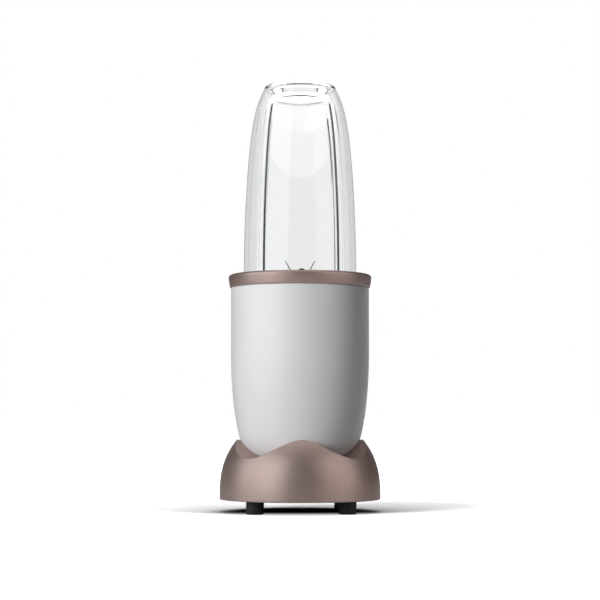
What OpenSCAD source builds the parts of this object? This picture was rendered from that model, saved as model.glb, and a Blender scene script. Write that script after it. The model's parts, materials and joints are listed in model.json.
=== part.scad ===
// Personal countertop blender: an upturned clear cup with a screw-on blade holder,
// standing in the drive well of a motor base with a wavy skirt.
// Millimetres, +Z up. The origin is on the vertical axis, in the plane the feet stand on.
// The front faces -Y and the cord leaves at +Y.

/* [Overall] */
// Height from the surface to the top of the upturned cup
overall_h = 390; // [385:1:400]
// Smoothness of round faces
round_fn = 96; // [48:8:128]

/* [Motor base] */
// Radius of the housing under the trim ring
body_r = 63.1; // [62.9:0.1:63.4]
// Wall of the moulded shells
wall = 2.6; // [2.2:0.1:2.8]
// Height of the housing's top edge
body_top_z = 203.5; // [203.2:0.1:203.6]
// Radius of the trim ring
ring_r = 65.4; // [65:0.1:66]
// Height of the trim ring's top face
ring_top_z = 215.5; // [215.2:0.1:216]

/* [Skirt] */
// Radius of the skirt at its lower edge
skirt_r = 73.3; // [73:0.1:75]
// Radius of the skirt at its crests
crest_r = 56.9; // [56.8:0.1:58]
// Height of the skirt's lower edge
skirt_z = 11.5; // [11.4:0.1:11.6]
// Height of the crests
crest_z = 66.2; // [65:0.1:67]
// Height of the valleys between the crests
valley_z = 50; // [49:0.1:52]
// Number of crests
crests = 4; // [4]
// Steps round the wavy edge
wave_steps = 72; // [48:8:96]

/* [Cup] */
// Outer radius of the cup above its neck
cup_r = 51.5; // [51.3:0.1:51.5]
// Wall of the cup
cup_wall = 2.4; // [2.2:0.1:2.4]
// Depth of the hollow in the cup's closed end
cup_hollow = 12; // [10:0.5:12]
// Number of blending ribs down the inside
cup_ribs = 4; // [2:1:6]
// Angle of the first rib from +X
rib_angle = 45; // [40:1:50]
// Width of a rib, in degrees
rib_width = 8; // [6:0.5:10]

/* [Lock] */
// Angle that the cup turns to lock
twist = 18; // [18]
// Travel of the interlock plungers
press = 3; // [3]

/* [Motor] */
// Outer radius of the stator
stator_r = 38; // [37:0.5:38]
// Radius of the motor and blade shafts
shaft_r = 4; // [4]
// Number of commutator bars
commutator_bars = 24; // [18:2:28]
// Number of fan vanes
fan_vanes = 11; // [7:1:13]

/* [Hidden] */
$fn = round_fn;
gap = 0.1;            // between pieces that are assembled against each other
running = 0.04;       // radial clearance of a running fit
places = [0, 90, 180, 270];
corners = [45, 135, 225, 315];
lug_places = [30, 150, 270];

// Feet and bottom cover
foot_r = 8;
foot_place_r = 58;
foot_stem_r = 4;
cover_t = 3;
cover_top_z = skirt_z + cover_t;
post_place_r = 44;
post_r = 4.4;
cover_bolt_r = 2;

// Deck inside the skirt, and the neck of the housing that passes through it
deck_z = 38;
deck_t = 3;
neck_z = 47.5;
neck_foot_z = 18;
neck_boss_r = 5.8;
neck_boss_top_z = 47.4;
screw_top_z = 46.3;
lid_t = 2;

// Cord gland
gland_z = 24;
gland_r = 5.2;
gland_bore_r = 3.6;
gland_inner_y = 60;
gland_outer_y = 73;

// Drive well
well_rim_r = 52.6;
well_rim_z = 214.8;
well_r = 60.3;
well_shelf_z = 196;
slot_r = 58.6;
ledge_z = 209.6;
well_floor_z = 170.5;
motor_post_x = 30;
motor_post_y = 18;

// Cup mouth and lugs
mouth_z = 190;
neck_r = 47.3;
shoulder_z = 199;
lug_r = 58.2;
lug_width = 26;
lug_top_z = 209;
plunger_place_r = 56.4;
plunger_angle = -twist / 2;
ramp_mid_z = 201.5;
ramp_run = 2 * plunger_place_r * sin(twist / 2);
plunger_top_z = ramp_mid_z + press / 2 - 0.25;
plunger_r = 1.9;
collar_z = 170;
bracket_z = 157;
bracket_t = 2.5;
spring_z = bracket_z + bracket_t + gap;
spring_turns = 5;
spring_wire_r = 0.4;
spring_r = 2.8;
lever_pin_y = -7;
lever_pin_z = 152.9;
lever_pin_r = 0.7;
lever_rise = 3;

// Blade unit
dish_z = 188;
boss_top_z = 203;
hub_z = 205.3;
blade_t = 1.6;
blade_hub_r = 11;
clutch_teeth = 6;
clutch_r = 13.5;
clutch_z = 180;
clutch_mesh = 4.4;

// Motor heights
fan_z = 30;
lower_plate_z = 53;
core_z = 88;
core_h = 40;
upper_plate_z = 138;
bearing_r = 11;
bearing_h = 7;
ball_r = 2;
balls = 7;

// ---------- outlines ----------

// Radius of the housing's outside at height z: straight above, closing like a bowl below.
function body_r_at(z) = let (t = max(0, (150 - z) / 100)) body_r - 11.3 * pow(t, 2.3) - 8.5 * pow(t, 14);

// Radius of the skirt's outside at height z.
function skirt_r_at(z) =
    skirt_r - (skirt_r - crest_r) * pow(max(0, (z - skirt_z) / (crest_z - skirt_z)), 2.8);

// Radius of the cup's outside at height z.
function cup_r_at(z) = let (u = max(0, (z - ring_top_z) / (overall_h - ring_top_z)))
    cup_r - 11 * pow(u, 2) - 9.3 * pow(u, 9.5);

// The point a wall's thickness inside a profile whose radius at z is r and whose slope is s.
function inset_point(r, z, s, t) = [r - t / sqrt(1 + s * s), z + t * s / sqrt(1 + s * s)];
// The skirt's wall is thinner towards its edge, where it comes close to the housing.
function skirt_wall_at(z) = max(0.5, wall - 1.6 * pow(max(0, (z - valley_z) / (crest_z - valley_z)), 2));
function body_slope(z) = (body_r_at(z + 0.1) - body_r_at(z - 0.1)) / 0.2;
function skirt_slope(z) = (skirt_r_at(z + 0.1) - skirt_r_at(z - 0.1)) / 0.2;
function cup_slope(z) = (cup_r_at(z + 0.1) - cup_r_at(z - 0.1)) / 0.2;

// Heights from a to b in n steps, closer together towards b.
function eased(a, b, n) = [for (i = [0 : n]) a + (b - a) * sin(90 * i / n)];

function arc_points(c, r, a0, a1, n) = [for (i = [0 : n]) let (a = a0 + (a1 - a0) * i / n)
    [c[0] + r * cos(a), c[1] + r * sin(a)]];

// ---------- helpers ----------

module at_places(angles, r) { for (a = angles) rotate(a) translate([r, 0, 0]) children(); }
module tube(r_out, r_in, z0, z1) {
    translate([0, 0, z0]) difference() {
        cylinder(r = r_out, h = z1 - z0);
        translate([0, 0, -1]) cylinder(r = r_in, h = z1 - z0 + 2);
    }
}
module disc(r, z0, z1) { translate([0, 0, z0]) cylinder(r = r, h = z1 - z0); }
module sector(r_in, r_out, z0, z1, a0, a1) {
    rotate(a0) rotate_extrude(angle = a1 - a0)
        polygon([[r_in, z0], [r_out, z0], [r_out, z1], [r_in, z1]]);
}
module at_motor_posts() { for (x = [-1, 1], y = [-1, 1]) translate([x * motor_post_x, y * motor_post_y, 0]) children(); }

// A round wire swept along points that lie on a helix about the Z axis.
module helix_wire(r, wire_r, z0, z1, turns, steps = 10, sides = 6) {
    n = turns * steps;
    rings = [for (i = [0 : n]) let (a = 360 * i / steps, z = z0 + wire_r + (z1 - z0 - 2 * wire_r) * i / n)
        [for (j = [0 : sides - 1]) let (b = 360 * j / sides)
            [(r + wire_r * cos(b)) * cos(a), (r + wire_r * cos(b)) * sin(a), z + wire_r * sin(b)]]];
    points = [for (ring = rings) for (p = ring) p];
    walls = [for (i = [0 : n - 1], j = [0 : sides - 1]) let (k = (j + 1) % sides)
        [i * sides + j, (i + 1) * sides + j, (i + 1) * sides + k, i * sides + k]];
    triangles = [for (w = walls) each [[w[0], w[1], w[2]], [w[0], w[2], w[3]]]];
    polyhedron(points, concat(triangles, [[for (j = [0 : sides - 1]) j]],
        [[for (j = [sides - 1 : -1 : 0]) n * sides + j]]), convexity = 8);
}

// ---------- outer pieces of the base ----------

// White shell: straight side, bowl-shaped lower end and a neck that goes down through the deck.
module motor_housing() {
    foot_r_out = body_r_at(neck_z);
    heights = concat([body_top_z], eased(150, neck_z, 22));
    outside = [for (z = heights) [body_r_at(z), z]];
    inside = [for (z = [for (i = [len(heights) - 1 : -1 : 0]) heights[i]])
        inset_point(body_r_at(z), z, body_slope(z), wall)];
    color("white") {
        difference() {
            union() {
                rotate_extrude() polygon(concat(
                    [[body_r - wall, 208], [61.9, 208], [61.9, body_top_z]],
                    outside,
                    [[foot_r_out, neck_foot_z], [foot_r_out - wall, neck_foot_z]],
                    [[foot_r_out - wall, inside[0][1] + 1]],
                    [for (p = inside) if (p[0] > foot_r_out - wall + 0.2 && p[1] > neck_z) p]));
                at_places(corners, post_place_r) disc(neck_boss_r, deck_z + deck_t + gap, neck_boss_top_z);
                for (side = [-1, 1]) translate([side * 21 - 1.8, -55.2, 96]) cube([3.6, 6, 30]);
            }
            at_places(corners, post_place_r) disc(cover_bolt_r + 0.05, 30, screw_top_z + 0.3);
            for (side = [-1, 1]) translate([side * 20 - 1.2, -51.9, 95]) cube([2.4, 1.8, 32]);
        }
    }
}

// Metallic trim ring, leaning out slightly towards its rounded top corner.
module top_ring() {
    color([0.62, 0.52, 0.49]) rotate_extrude() polygon(concat(
        [[62, body_top_z + gap], [ring_r - 1.5, body_top_z + gap], [ring_r - 0.6, body_top_z + 3.5],
         [ring_r - 0.15, body_top_z + 6.5]],
        arc_points([ring_r - 2.6, ring_top_z - 2.6], 2.6, 0, 90, 8),
        [[61.4, ring_top_z], [60.7, ring_top_z - 0.7], [60.7, 212.5], [63.6, 212.5], [63.6, 208.15], [62, 208.15]]));
}

// A ring whose top, or underside, rises and falls with the angle like the skirt's edge, moved by lift.
module wavy_ring(r_in, r_out, flat_z, lift) {
    function wave_z(a) = (crest_z + valley_z) / 2 + (crest_z - valley_z) / 2 * cos(crests * a) + lift;
    function ends(a) = flat_z > crest_z ? [wave_z(a), flat_z] : [flat_z, wave_z(a)];
    n = wave_steps;
    rings = [for (i = [0 : n - 1]) let (a = 360 * i / n, z = ends(a))
        [[r_in * cos(a), r_in * sin(a), z[0]], [r_out * cos(a), r_out * sin(a), z[0]],
         [r_out * cos(a), r_out * sin(a), z[1]], [r_in * cos(a), r_in * sin(a), z[1]]]];
    points = [for (ring = rings) for (p = ring) p];
    walls = [for (i = [0 : n - 1], j = [0 : 3]) let (m = (i + 1) % n, k = (j + 1) % 4)
        [i * 4 + j, i * 4 + k, m * 4 + k, m * 4 + j]];
    polyhedron(points, [for (w = walls) each [[w[0], w[1], w[2]], [w[0], w[2], w[3]]]], convexity = 6);
}

// Lid that closes the skirt against the housing. It follows the wavy edge.
module skirt_lid() {
    lid_z = concat([for (i = [0 : 6]) 47.2 + 0.8 * i], [for (i = [1 : 8]) 52 + 1.9 * i]);
    difference() {
        rotate_extrude() polygon(concat(
            [for (z = lid_z) [body_r_at(z) + 0.35 * sqrt(1 + pow(body_slope(z), 2)), z]],
            [for (i = [len(lid_z) - 1 : -1 : 0]) [skirt_r_at(lid_z[i]) - skirt_wall_at(lid_z[i]) / 2, lid_z[i]]]));
        wavy_ring(35, 85, 40, -lid_t);
    }
}

// Flared metallic skirt with four crests, a lid, an inner deck and a notch for the cord gland.
module base_skirt() {
    heights = [for (i = [0 : 16]) skirt_z + (crest_z + 2.5 - skirt_z) * i / 16];
    outside = [for (z = heights) [skirt_r_at(z), z]];
    inside = [for (i = [16 : -1 : 0]) let (z = heights[i], p = inset_point(skirt_r_at(z), z, skirt_slope(z), skirt_wall_at(z)))
        [p[0], i == 0 ? z : p[1]]];
    color([0.62, 0.52, 0.49]) difference() {
        union() {
            rotate_extrude() polygon(concat(outside, inside));
            tube(skirt_r_at(deck_z + deck_t) - 1.2, body_r_at(neck_z) + 0.3, deck_z, deck_z + deck_t);
            skirt_lid();
        }
        wavy_ring(38, 85, 90, 0);
        at_places(corners, post_place_r) disc(cover_bolt_r + 0.05, 30, 45);
        translate([0, 85, gland_z]) rotate([90, 0, 0]) cylinder(r = gland_r + gap, h = 20);
        translate([-gland_r - gap, 65, 0]) cube([2 * (gland_r + gap), 20, gland_z]);
    }
}

// Black floor of the base: foot sockets, screw posts and a ring of air slots.
module bottom_cover() {
    color([0.09, 0.09, 0.1]) difference() {
        union() {
            disc(skirt_r - wall - 0.3, skirt_z, cover_top_z);
            tube(body_r_at(neck_z), body_r_at(neck_z) - wall, cover_top_z - 0.1, neck_foot_z - gap);
            at_places(corners, post_place_r) disc(post_r, cover_top_z - 0.1, deck_z - gap);
            tube(27, 24.5, cover_top_z - 0.1, cover_top_z + 3);
        }
        at_places(corners, foot_place_r) disc(foot_stem_r + 0.05, 0, 30);
        at_places(corners, post_place_r) {
            disc(cover_bolt_r + 0.05, 0, 60);
            disc(4.1, 0, skirt_z + 2.2);
        }
        for (a = [0 : 20 : 340]) rotate(a) translate([10.5, -1.2, 0]) cube([12, 2.4, 30]);
        for (a = [0 : 10 : 350]) rotate(a) translate([28.5, -1.2, 0]) cube([7, 2.4, 30]);
        translate([-gland_r - gap, 60, 0]) cube([2 * (gland_r + gap), 20, 40]);
    }
}

// Four soft rubber feet, each with a suction hollow below and a barbed stem above.
module feet() {
    color([0.05, 0.05, 0.05]) at_places(corners, foot_place_r) rotate_extrude() polygon([
        [0, 1.2], [4.2, 1.2], [4.8, 0], [7.3, 0], [foot_r, 0.9], [foot_r, skirt_z - gap], [4, skirt_z - gap],
        [4, cover_top_z + 0.1], [5, cover_top_z + 0.6], [4.2, cover_top_z + 3], [0, cover_top_z + 3]]);
}

// Rubber bush that the mains cord passes through at the back.
module cord_gland() {
    color([0.06, 0.06, 0.06]) translate([0, gland_outer_y, gland_z]) rotate([90, 0, 0]) difference() {
        union() {
            cylinder(r = gland_r, h = gland_outer_y - gland_inner_y);
            translate([0, 0, gland_outer_y - 69.4]) cylinder(r = 7.4, h = 2.6);
        }
        translate([0, 0, -1]) cylinder(r = gland_bore_r, h = gland_outer_y - gland_inner_y + 2);
    }
}

// Saddle that grips the cord inside the base, with its two screws' holes.
module cord_clamp() {
    color([0.12, 0.12, 0.13]) difference() {
        translate([-11, 50.5, cover_top_z + gap]) cube([22, 7, 14]);
        translate([0, 70, gland_z]) rotate([90, 0, 0]) cylinder(r = gland_bore_r, h = 25);
        for (side = [-1, 1]) translate([side * 7.6, 54, 0]) cylinder(r = 1.3, h = 60);
    }
}

// Four long screws through the cover, the deck and the housing's bosses.
module cover_screws() {
    color("silver") at_places(corners, post_place_r) difference() {
        union() {
            disc(3.8, skirt_z + 0.2, skirt_z + 2.2);
            disc(cover_bolt_r, skirt_z + 2.2, screw_top_z);
        }
        disc(1.6, skirt_z - 1, skirt_z + 1.3, $fn = 6);
    }
}

// ---------- drive well ----------

// Black bowl under the trim ring. Three slots take the cup's lugs, and run on under a ledge.
module drive_well() {
    color([0.11, 0.11, 0.12]) difference() {
        union() {
            rotate_extrude() polygon([
                [well_rim_r, well_rim_z - 0.8], [well_rim_r + 0.8, well_rim_z], [60.6, well_rim_z],
                [60.6, 212.4], [63.5, 212.4], [63.5, 208.15], [well_r, 208.15], [well_r, 192], [54.2, 192],
                [54.2, 181.3], [48.5, 176.8], [36.2, 175.3], [34.2, 168], [12, 168], [12, 166], [6.5, 166],
                [6.5, 174], [9, 174], [9.6, well_floor_z], [32, well_floor_z], [34, 177.8], [48, 179.3],
                [well_rim_r, 183.2]]);
            at_motor_posts() disc(4.2, 152, 170);
        }
        at_motor_posts() disc(1.95, 150, 164);
        for (a = lug_places) rotate(a) {
            sector(well_rim_r - 2, slot_r, well_shelf_z, 220, -lug_width / 2 - 1.5, lug_width / 2 + 1.5);
            sector(well_rim_r - 2, slot_r, well_shelf_z, ledge_z, -lug_width / 2 - 1.5 - twist, 0);
            rotate(plunger_angle) translate([plunger_place_r, 0, 190]) cylinder(r = plunger_r + 0.08, h = 10);
        }
    }
}

// Rubber lip that keeps spills off the motor shaft.
module well_shaft_seal() {
    color([0.35, 0.1, 0.1]) tube(6.48, shaft_r + 0.06, 166.4, 173.4);
}

// ---------- motor, standing parts ----------

module bearing_cup(z) { tube(bearing_r + 2.6, bearing_r + 0.02, z, z + bearing_h + 1); }

// Disc with four windows and a bearing cup, clamped on top of the stator.
module upper_bracket() {
    color([0.7, 0.7, 0.72]) {
        difference() {
            union() {
                disc(stator_r - 0.5, upper_plate_z, upper_plate_z + 3);
                disc(bearing_r + 2.6, upper_plate_z, upper_plate_z + 12);
                at_motor_posts() disc(4.2, core_z + core_h + gap, upper_plate_z);
            }
            disc(shaft_r + 2, upper_plate_z - 1, upper_plate_z + 20);
            disc(bearing_r + 0.02, upper_plate_z + 4.5, upper_plate_z + 20);
            at_motor_posts() disc(1.95, 100, 160);
            for (a = places) rotate(a) sector(16.5, 27, upper_plate_z - 1, upper_plate_z + 5, -22, 22);
        }
    }
}

// Cross plate below the stator with the lower bearing cup and the brush posts.
module lower_bracket() {
    color([0.7, 0.7, 0.72]) difference() {
        union() {
            intersection() {
                translate([-38, -23, lower_plate_z]) cube([76, 46, 4]);
                disc(stator_r, lower_plate_z, lower_plate_z + 4);
            }
            disc(bearing_r + 2.6, lower_plate_z, lower_plate_z + 10);
            at_motor_posts() disc(4.2, lower_plate_z + 3.9, core_z - gap);
            for (side = [-1, 1]) translate([side * 31 - 3, -4, lower_plate_z + 3.9]) cube([6, 8, 7]);
        }
        disc(shaft_r + 2, lower_plate_z - 1, lower_plate_z + 20);
        disc(bearing_r + 0.02, lower_plate_z + 2.4, lower_plate_z + 20);
        at_motor_posts() disc(1.95, 40, 100);
        for (side = [-1, 1]) translate([side * 22 - 3, -14, lower_plate_z - 1]) cube([6, 28, 6]);
    }
}

// Laminated stack with two poles, coil windows and four bolt holes.
module stator_core() {
    color([0.45, 0.46, 0.48]) translate([0, 0, core_z]) difference() {
        cylinder(r = stator_r, h = core_h);
        translate([0, 0, -1]) cylinder(r = 22.6, h = core_h + 2);
        for (x = [-1, 1], y = [-1, 1]) translate([x * 22 - 4.4, y * 28 - 4.4, -1]) cube([8.8, 8.8, core_h + 2]);
        for (side = [-1, 1]) translate([side * 21 - 6, -12, -1]) cube([12, 24, core_h + 2]);
        at_motor_posts() translate([0, 0, -1]) cylinder(r = 1.95, h = core_h + 2);
        for (i = [1 : 7]) tube(stator_r + 1, stator_r - 0.35, i * 5 - 0.15, i * 5 + 0.15);
    }
}

// Two enamelled copper coils, one round each pole.
module field_coils() {
    color([0.72, 0.38, 0.2]) for (side = [-1, 1]) translate([0, side * 28, core_z - 8]) difference() {
        translate([-26, -4, 0]) cube([52, 8, core_h + 16]);
        translate([-18, -5, 7.8]) cube([36, 10, core_h + 0.4]);
    }
}

module motor_bolts() {
    color("silver") at_motor_posts() {
        disc(3, lower_plate_z - 2.2, lower_plate_z - gap);
        disc(1.9, lower_plate_z - gap, 163.5);
    }
}

module motor_isolators() {
    color([0.08, 0.08, 0.08]) at_motor_posts() tube(5.6, 2, upper_plate_z + 3 + gap, 152 - gap);
}

module at_bearings() { for (z = [lower_plate_z + 2.5, upper_plate_z + 4.6]) translate([0, 0, z]) children(); }

module bearing_outer_races() {
    color("gainsboro") at_bearings() difference() {
        tube(bearing_r, 9.15, 0, bearing_h);
        rotate_extrude() translate([7.5, bearing_h / 2]) circle(r = ball_r + 0.06, $fn = 32);
    }
}
module bearing_inner_races() {
    color("gainsboro") at_bearings() difference() {
        tube(5.85, shaft_r + 0.01, 0, bearing_h);
        rotate_extrude() translate([7.5, bearing_h / 2]) circle(r = ball_r + 0.02, $fn = 32);
    }
}
module bearing_balls() {
    color("white") at_bearings() for (i = [0 : balls - 1])
        rotate(i * 360 / balls) translate([7.5, 0, bearing_h / 2]) sphere(r = ball_r, $fn = 24);
}

// Brush boxes to the left and right of the commutator, screwed to the lower bracket's posts.
module brush_holders() {
    color([0.15, 0.12, 0.1]) for (side = [0, 180]) rotate(side) difference() {
        translate([15, -5.5, 64]) cube([22, 11, 11]);
        translate([14, -3.1, 66.4]) cube([21, 6.2, 6.2]);
    }
}
module carbon_brushes() {
    color([0.1, 0.1, 0.1]) for (side = [0, 180]) rotate(side) difference() {
        translate([11.6, -3, 66.5]) cube([13.4, 6, 6]);
        disc(12.1, 60, 80);
    }
}
module brush_springs() {
    color("silver") for (side = [0, 180]) rotate(side) translate([25.1, 0, 69.5]) rotate([0, 90, 0])
        helix_wire(2, 0.3, 0, 9.7, 5);
}

// ---------- electrical parts ----------

module circuit_board() {
    color([0.1, 0.35, 0.2]) translate([-20, -51.8, 96]) cube([40, 1.6, 29.5]);
}
module filter_capacitor() {
    color([0.75, 0.55, 0.15]) translate([-10, -50.1, 103]) cube([20, 8, 15]);
}
module thermal_cutout() {
    color([0.85, 0.85, 0.8]) translate([-5.5, 32.1, 129.5]) cube([11, 4, 5.5]);
}

// ---------- motor, turning parts ----------

module motor_shaft() { color("silver") disc(shaft_r, fan_z - 1.5, clutch_z + 0.5); }

module armature_core() {
    color([0.5, 0.5, 0.52]) difference() {
        tube(21.9, shaft_r + 0.01, core_z, core_z + core_h);
        for (a = [0 : 30 : 330]) rotate(a) translate([13, -1.6, core_z - 1]) cube([7, 3.2, core_h + 2]);
        for (a = [0 : 30 : 330]) rotate(a) translate([18, -0.7, core_z - 1]) cube([7, 1.4, core_h + 2]);
    }
}

// Copper end turns at both ends of the core, joined by the bars in its slots.
module armature_windings() {
    color([0.75, 0.4, 0.2]) {
        rotate_extrude() polygon([[6, 128], [19, 128], [19.6, 130], [18.6, 133], [15.5, 135], [9, 135], [6.5, 132]]);
        rotate_extrude() polygon([[6, 88], [19, 88], [19.6, 86], [18.6, 83], [15.5, 81], [9, 81], [6.5, 84]]);
        for (a = [0 : 30 : 330]) rotate(a) translate([13.3, -1.4, core_z - 0.5]) cube([5.2, 2.8, core_h + 1]);
    }
}

module commutator() {
    color([0.8, 0.45, 0.25]) difference() {
        union() {
            tube(12, shaft_r + 0.01, 63.5, 77);
            tube(13.6, shaft_r + 0.01, 77, 79.5);
        }
        for (i = [0 : commutator_bars - 1]) rotate(i * 360 / commutator_bars)
            translate([10.8, -0.25, 62]) cube([5, 0.5, 20]);
    }
}

// Radial fan in the neck: a back plate, a hub and straight vanes.
module cooling_fan() {
    color([0.2, 0.2, 0.22]) difference() {
        union() {
            disc(33, fan_z + 9, fan_z + 11);
            disc(8.5, fan_z, fan_z + 11);
            for (i = [0 : fan_vanes - 1]) rotate(i * 360 / fan_vanes)
                translate([8, 2, fan_z]) rotate([0, 0, -12]) cube([24, 1.6, 9.5]);
        }
        disc(shaft_r + 0.01, 0, 100);
    }
}

// Dog clutch half on the motor shaft, teeth up.
module drive_coupling() {
    color([0.82, 0.82, 0.8]) difference() {
        union() {
            disc(clutch_r, clutch_z - 5.5, clutch_z);
            for (i = [0 : clutch_teeth - 1])
                sector(7, clutch_r - 0.3, clutch_z - 0.2, clutch_z + clutch_mesh, i * 60 - 13, i * 60 + 13);
        }
        disc(shaft_r + 0.01, 100, 300);
    }
}

// ---------- lock and interlock ----------

// Everything of the interlock repeats at the three lug slots.
module at_plunger(i) { rotate(lug_places[i - 1] + plunger_angle) translate([plunger_place_r, 0, 0]) children(); }

module plunger(i) {
    color([0.92, 0.92, 0.9]) at_plunger(i) {
        translate([0, 0, plunger_top_z - plunger_r]) sphere(r = plunger_r, $fn = 32);
        disc(plunger_r, 163, plunger_top_z - plunger_r);
        disc(3.4, collar_z, collar_z + 2.2);
        disc(1.4, bracket_z + 0.8, 163);
        translate([0, 0, bracket_z + 0.8]) sphere(r = 1.4, $fn = 32);
    }
}
module plunger_spring(i) {
    color("silver") at_plunger(i) helix_wire(spring_r, spring_wire_r, spring_z, collar_z - gap, spring_turns);
}

// Ring plate under the well. It holds the springs, guides the plungers and carries the switches.
module switch_bracket() {
    color([0.16, 0.16, 0.17]) difference() {
        union() {
            tube(well_r - 0.2, 44.5, bracket_z, bracket_z + bracket_t);
            for (i = [1 : 3]) at_plunger(i) translate([-7, -8, 143]) cube([2.2, 15.5, bracket_z - 142]);
            for (a = lug_places) rotate(a + 55) translate([47, 0, 0]) disc(3, bracket_z, 176.1);
        }
        for (i = [1 : 3]) at_plunger(i) disc(1.47, 140, 170);
    }
}
module microswitches() {
    color([0.08, 0.08, 0.09]) for (i = [1 : 3]) at_plunger(i) difference() {
        union() {
            translate([-4.7, -8, 143.5]) cube([7.7, 15.5, 8.3]);
            for (x = [-3, 2.2]) translate([x, lever_pin_y - 1.2, 151.6]) cube([0.8, 2.4, 2.6]);
            translate([0, 1, 151.7]) cylinder(r = 1, h = 1.1);
        }
        for (y = [-4.5, 4.5]) translate([-10, y, 145.6]) rotate([0, 90, 0]) cylinder(r = 0.8, h = 20);
        translate([-10, lever_pin_y, lever_pin_z]) rotate([0, 90, 0]) cylinder(r = lever_pin_r + 0.06, h = 20);
    }
}

// Spring-steel lever over each switch, on a pin held by the switch's two ears.
module switch_lever(i) {
    color("gainsboro") at_plunger(i) translate([0, lever_pin_y, lever_pin_z]) {
        translate([-2.9, 0, 0]) rotate([0, 90, 0]) cylinder(r = lever_pin_r, h = 5.8);
        rotate([atan(lever_rise / -lever_pin_y), 0, 0]) translate([-2.1, 0, -0.2]) cube([4.2, 9, 0.4]);
    }
}

// ---------- cup and blade unit ----------

// Clear cup standing on its mouth: threaded neck, three ramped lugs, long curved wall and a hollow end.
module cup() {
    rim_z = 387.8;
    floor_z = overall_h - cup_hollow;
    wall_zs = eased(208, rim_z, 30);
    inner_zs = [for (i = [27 : -1 : 0]) wall_zs[i]];
    inner_wall = [for (z = inner_zs) inset_point(cup_r_at(z), z, cup_slope(z), cup_wall)];
    color([0.8, 0.88, 0.9, 0.35]) {
        rotate_extrude() polygon(concat(
            [[44.9, mouth_z], [neck_r, mouth_z], [neck_r, 191.6], [48.3, 192.2], [48.3, 193], [neck_r, 193.6],
             [neck_r, 195.4], [48.3, 196], [48.3, 196.8], [neck_r, 197.4], [neck_r, shoulder_z],
             [cup_r - 0.5, shoulder_z + 0.2], [cup_r, shoulder_z + 1]],
            [for (z = wall_zs) [cup_r_at(z), z]],
            arc_points([29.9, overall_h - 3], 3, 35, 90, 5),
            [[28.6, overall_h - 0.5], [27.4, overall_h - 2], [26.2, floor_z + 2], [25.4, floor_z + 0.4],
             [24.4, floor_z], [0, floor_z], [0, floor_z - cup_wall], [25.6, floor_z - cup_wall],
             [27.6, floor_z - 1.6], [28.4, floor_z + 0.3], [28.9, overall_h - 5.2], [29.5, overall_h - 4.1],
             [30.3, overall_h - 3.7], [31.1, overall_h - 4.2]],
            inner_wall,
            [[cup_r - cup_wall, 203], [44.9, 199.5]]));
        for (i = [0 : cup_ribs - 1]) rotate(rib_angle + i * 360 / cup_ribs - rib_width / 2)
            rotate_extrude(angle = rib_width) polygon(concat(
                [for (z = wall_zs) if (z < 369) [cup_r_at(z) - 1.4, z]],
                [for (z = inner_zs) if (z < 369) inset_point(cup_r_at(z), z, cup_slope(z), cup_wall + 2.3)]));
        for (a = lug_places) rotate(a) cup_lug();
    }
}

// One bayonet lug. Its underside is a ramp that presses a plunger as the cup turns.
module cup_lug() {
    difference() {
        sector(cup_r - 1, lug_r, 198, lug_top_z, -lug_width / 2, lug_width / 2);
        translate([plunger_place_r, 0, ramp_mid_z]) rotate([-atan(press / ramp_run), 0, 0])
            translate([-20, -30, -20]) cube([40, 60, 20]);
    }
}

// Screw-on closure of the cup's mouth: threaded wall, dished floor and bearing boss.
module blade_holder() {
    color([0.2, 0.2, 0.21]) difference() {
        rotate_extrude() polygon([
            [51.2, 184], [51.2, shoulder_z - 0.2], [49, shoulder_z - 0.2], [49, 195], [47.8, 194.8], [47.8, 194.2], [49, 194],
            [49, dish_z], [38, dish_z], [25, 190.2], [16, 195.5], [12.4, 201], [11, boss_top_z],
            [7.5, boss_top_z], [7.5, boss_top_z - 2.6], [6, boss_top_z - 2.6], [6, 189.6], [14, 189.6], [16.5, 191.5],
            [24.5, 187.4], [38, 185.2], [46.8, 185.2], [48.6, 184]]);
        for (i = [0 : 35]) rotate(i * 10) translate([51.6, 0, 180]) cylinder(r = 0.9, h = 17, $fn = 16);
    }
}
module cup_gasket() { color([0.75, 0.75, 0.75]) tube(48.6, 43.6, dish_z + 0.02, mouth_z - 0.02); }
module blade_bush() { color([0.7, 0.55, 0.3]) tube(5.98, shaft_r + running, 190, boss_top_z - 2.8); }
module blade_seal() { color([0.1, 0.1, 0.1]) tube(7.45, shaft_r + 0.08, boss_top_z - 2.5, boss_top_z + 0.4); }

module blade_shaft() {
    color("silver") {
        disc(shaft_r, clutch_z + 1, hub_z);
        disc(3, hub_z, hub_z + 9);
    }
}
module blade_washer() { color("silver") tube(8.5, shaft_r + 0.02, boss_top_z + 0.6, hub_z - 0.02); }

// One steel wing: flat to root_r, then bent up by tilt and tapering to its tip.
module wing(root_r, reach, width, tilt) {
    c = cos(tilt);
    s = sin(tilt);
    tip = root_r + reach * c;
    intersection() {
        translate([0, width / 2 + 1, 0]) rotate([90, 0, 0]) linear_extrude(width + 2) polygon([
            [8, 0], [root_r, 0], [tip, reach * s], [tip - blade_t * s, reach * s + blade_t * c],
            [root_r - blade_t * tan(tilt / 2), blade_t], [8, blade_t]]);
        translate([0, 0, -5]) linear_extrude(50) polygon([
            [7, -width / 2], [root_r, -width / 2], [root_r + 0.6 * reach * c, 1.2 - width / 2], [tip + 1, 0],
            [tip + 1, width / 2 - 2.5], [root_r, width / 2], [7, width / 2]]);
    }
}
module blade_lower() {
    color("silver") difference() {
        union() {
            disc(blade_hub_r, hub_z, hub_z + blade_t);
            for (a = [35, 215]) rotate(a) translate([0, 0, hub_z]) wing(15, 17, 11, 4);
        }
        disc(3.02, 200, 230);
    }
}
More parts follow.
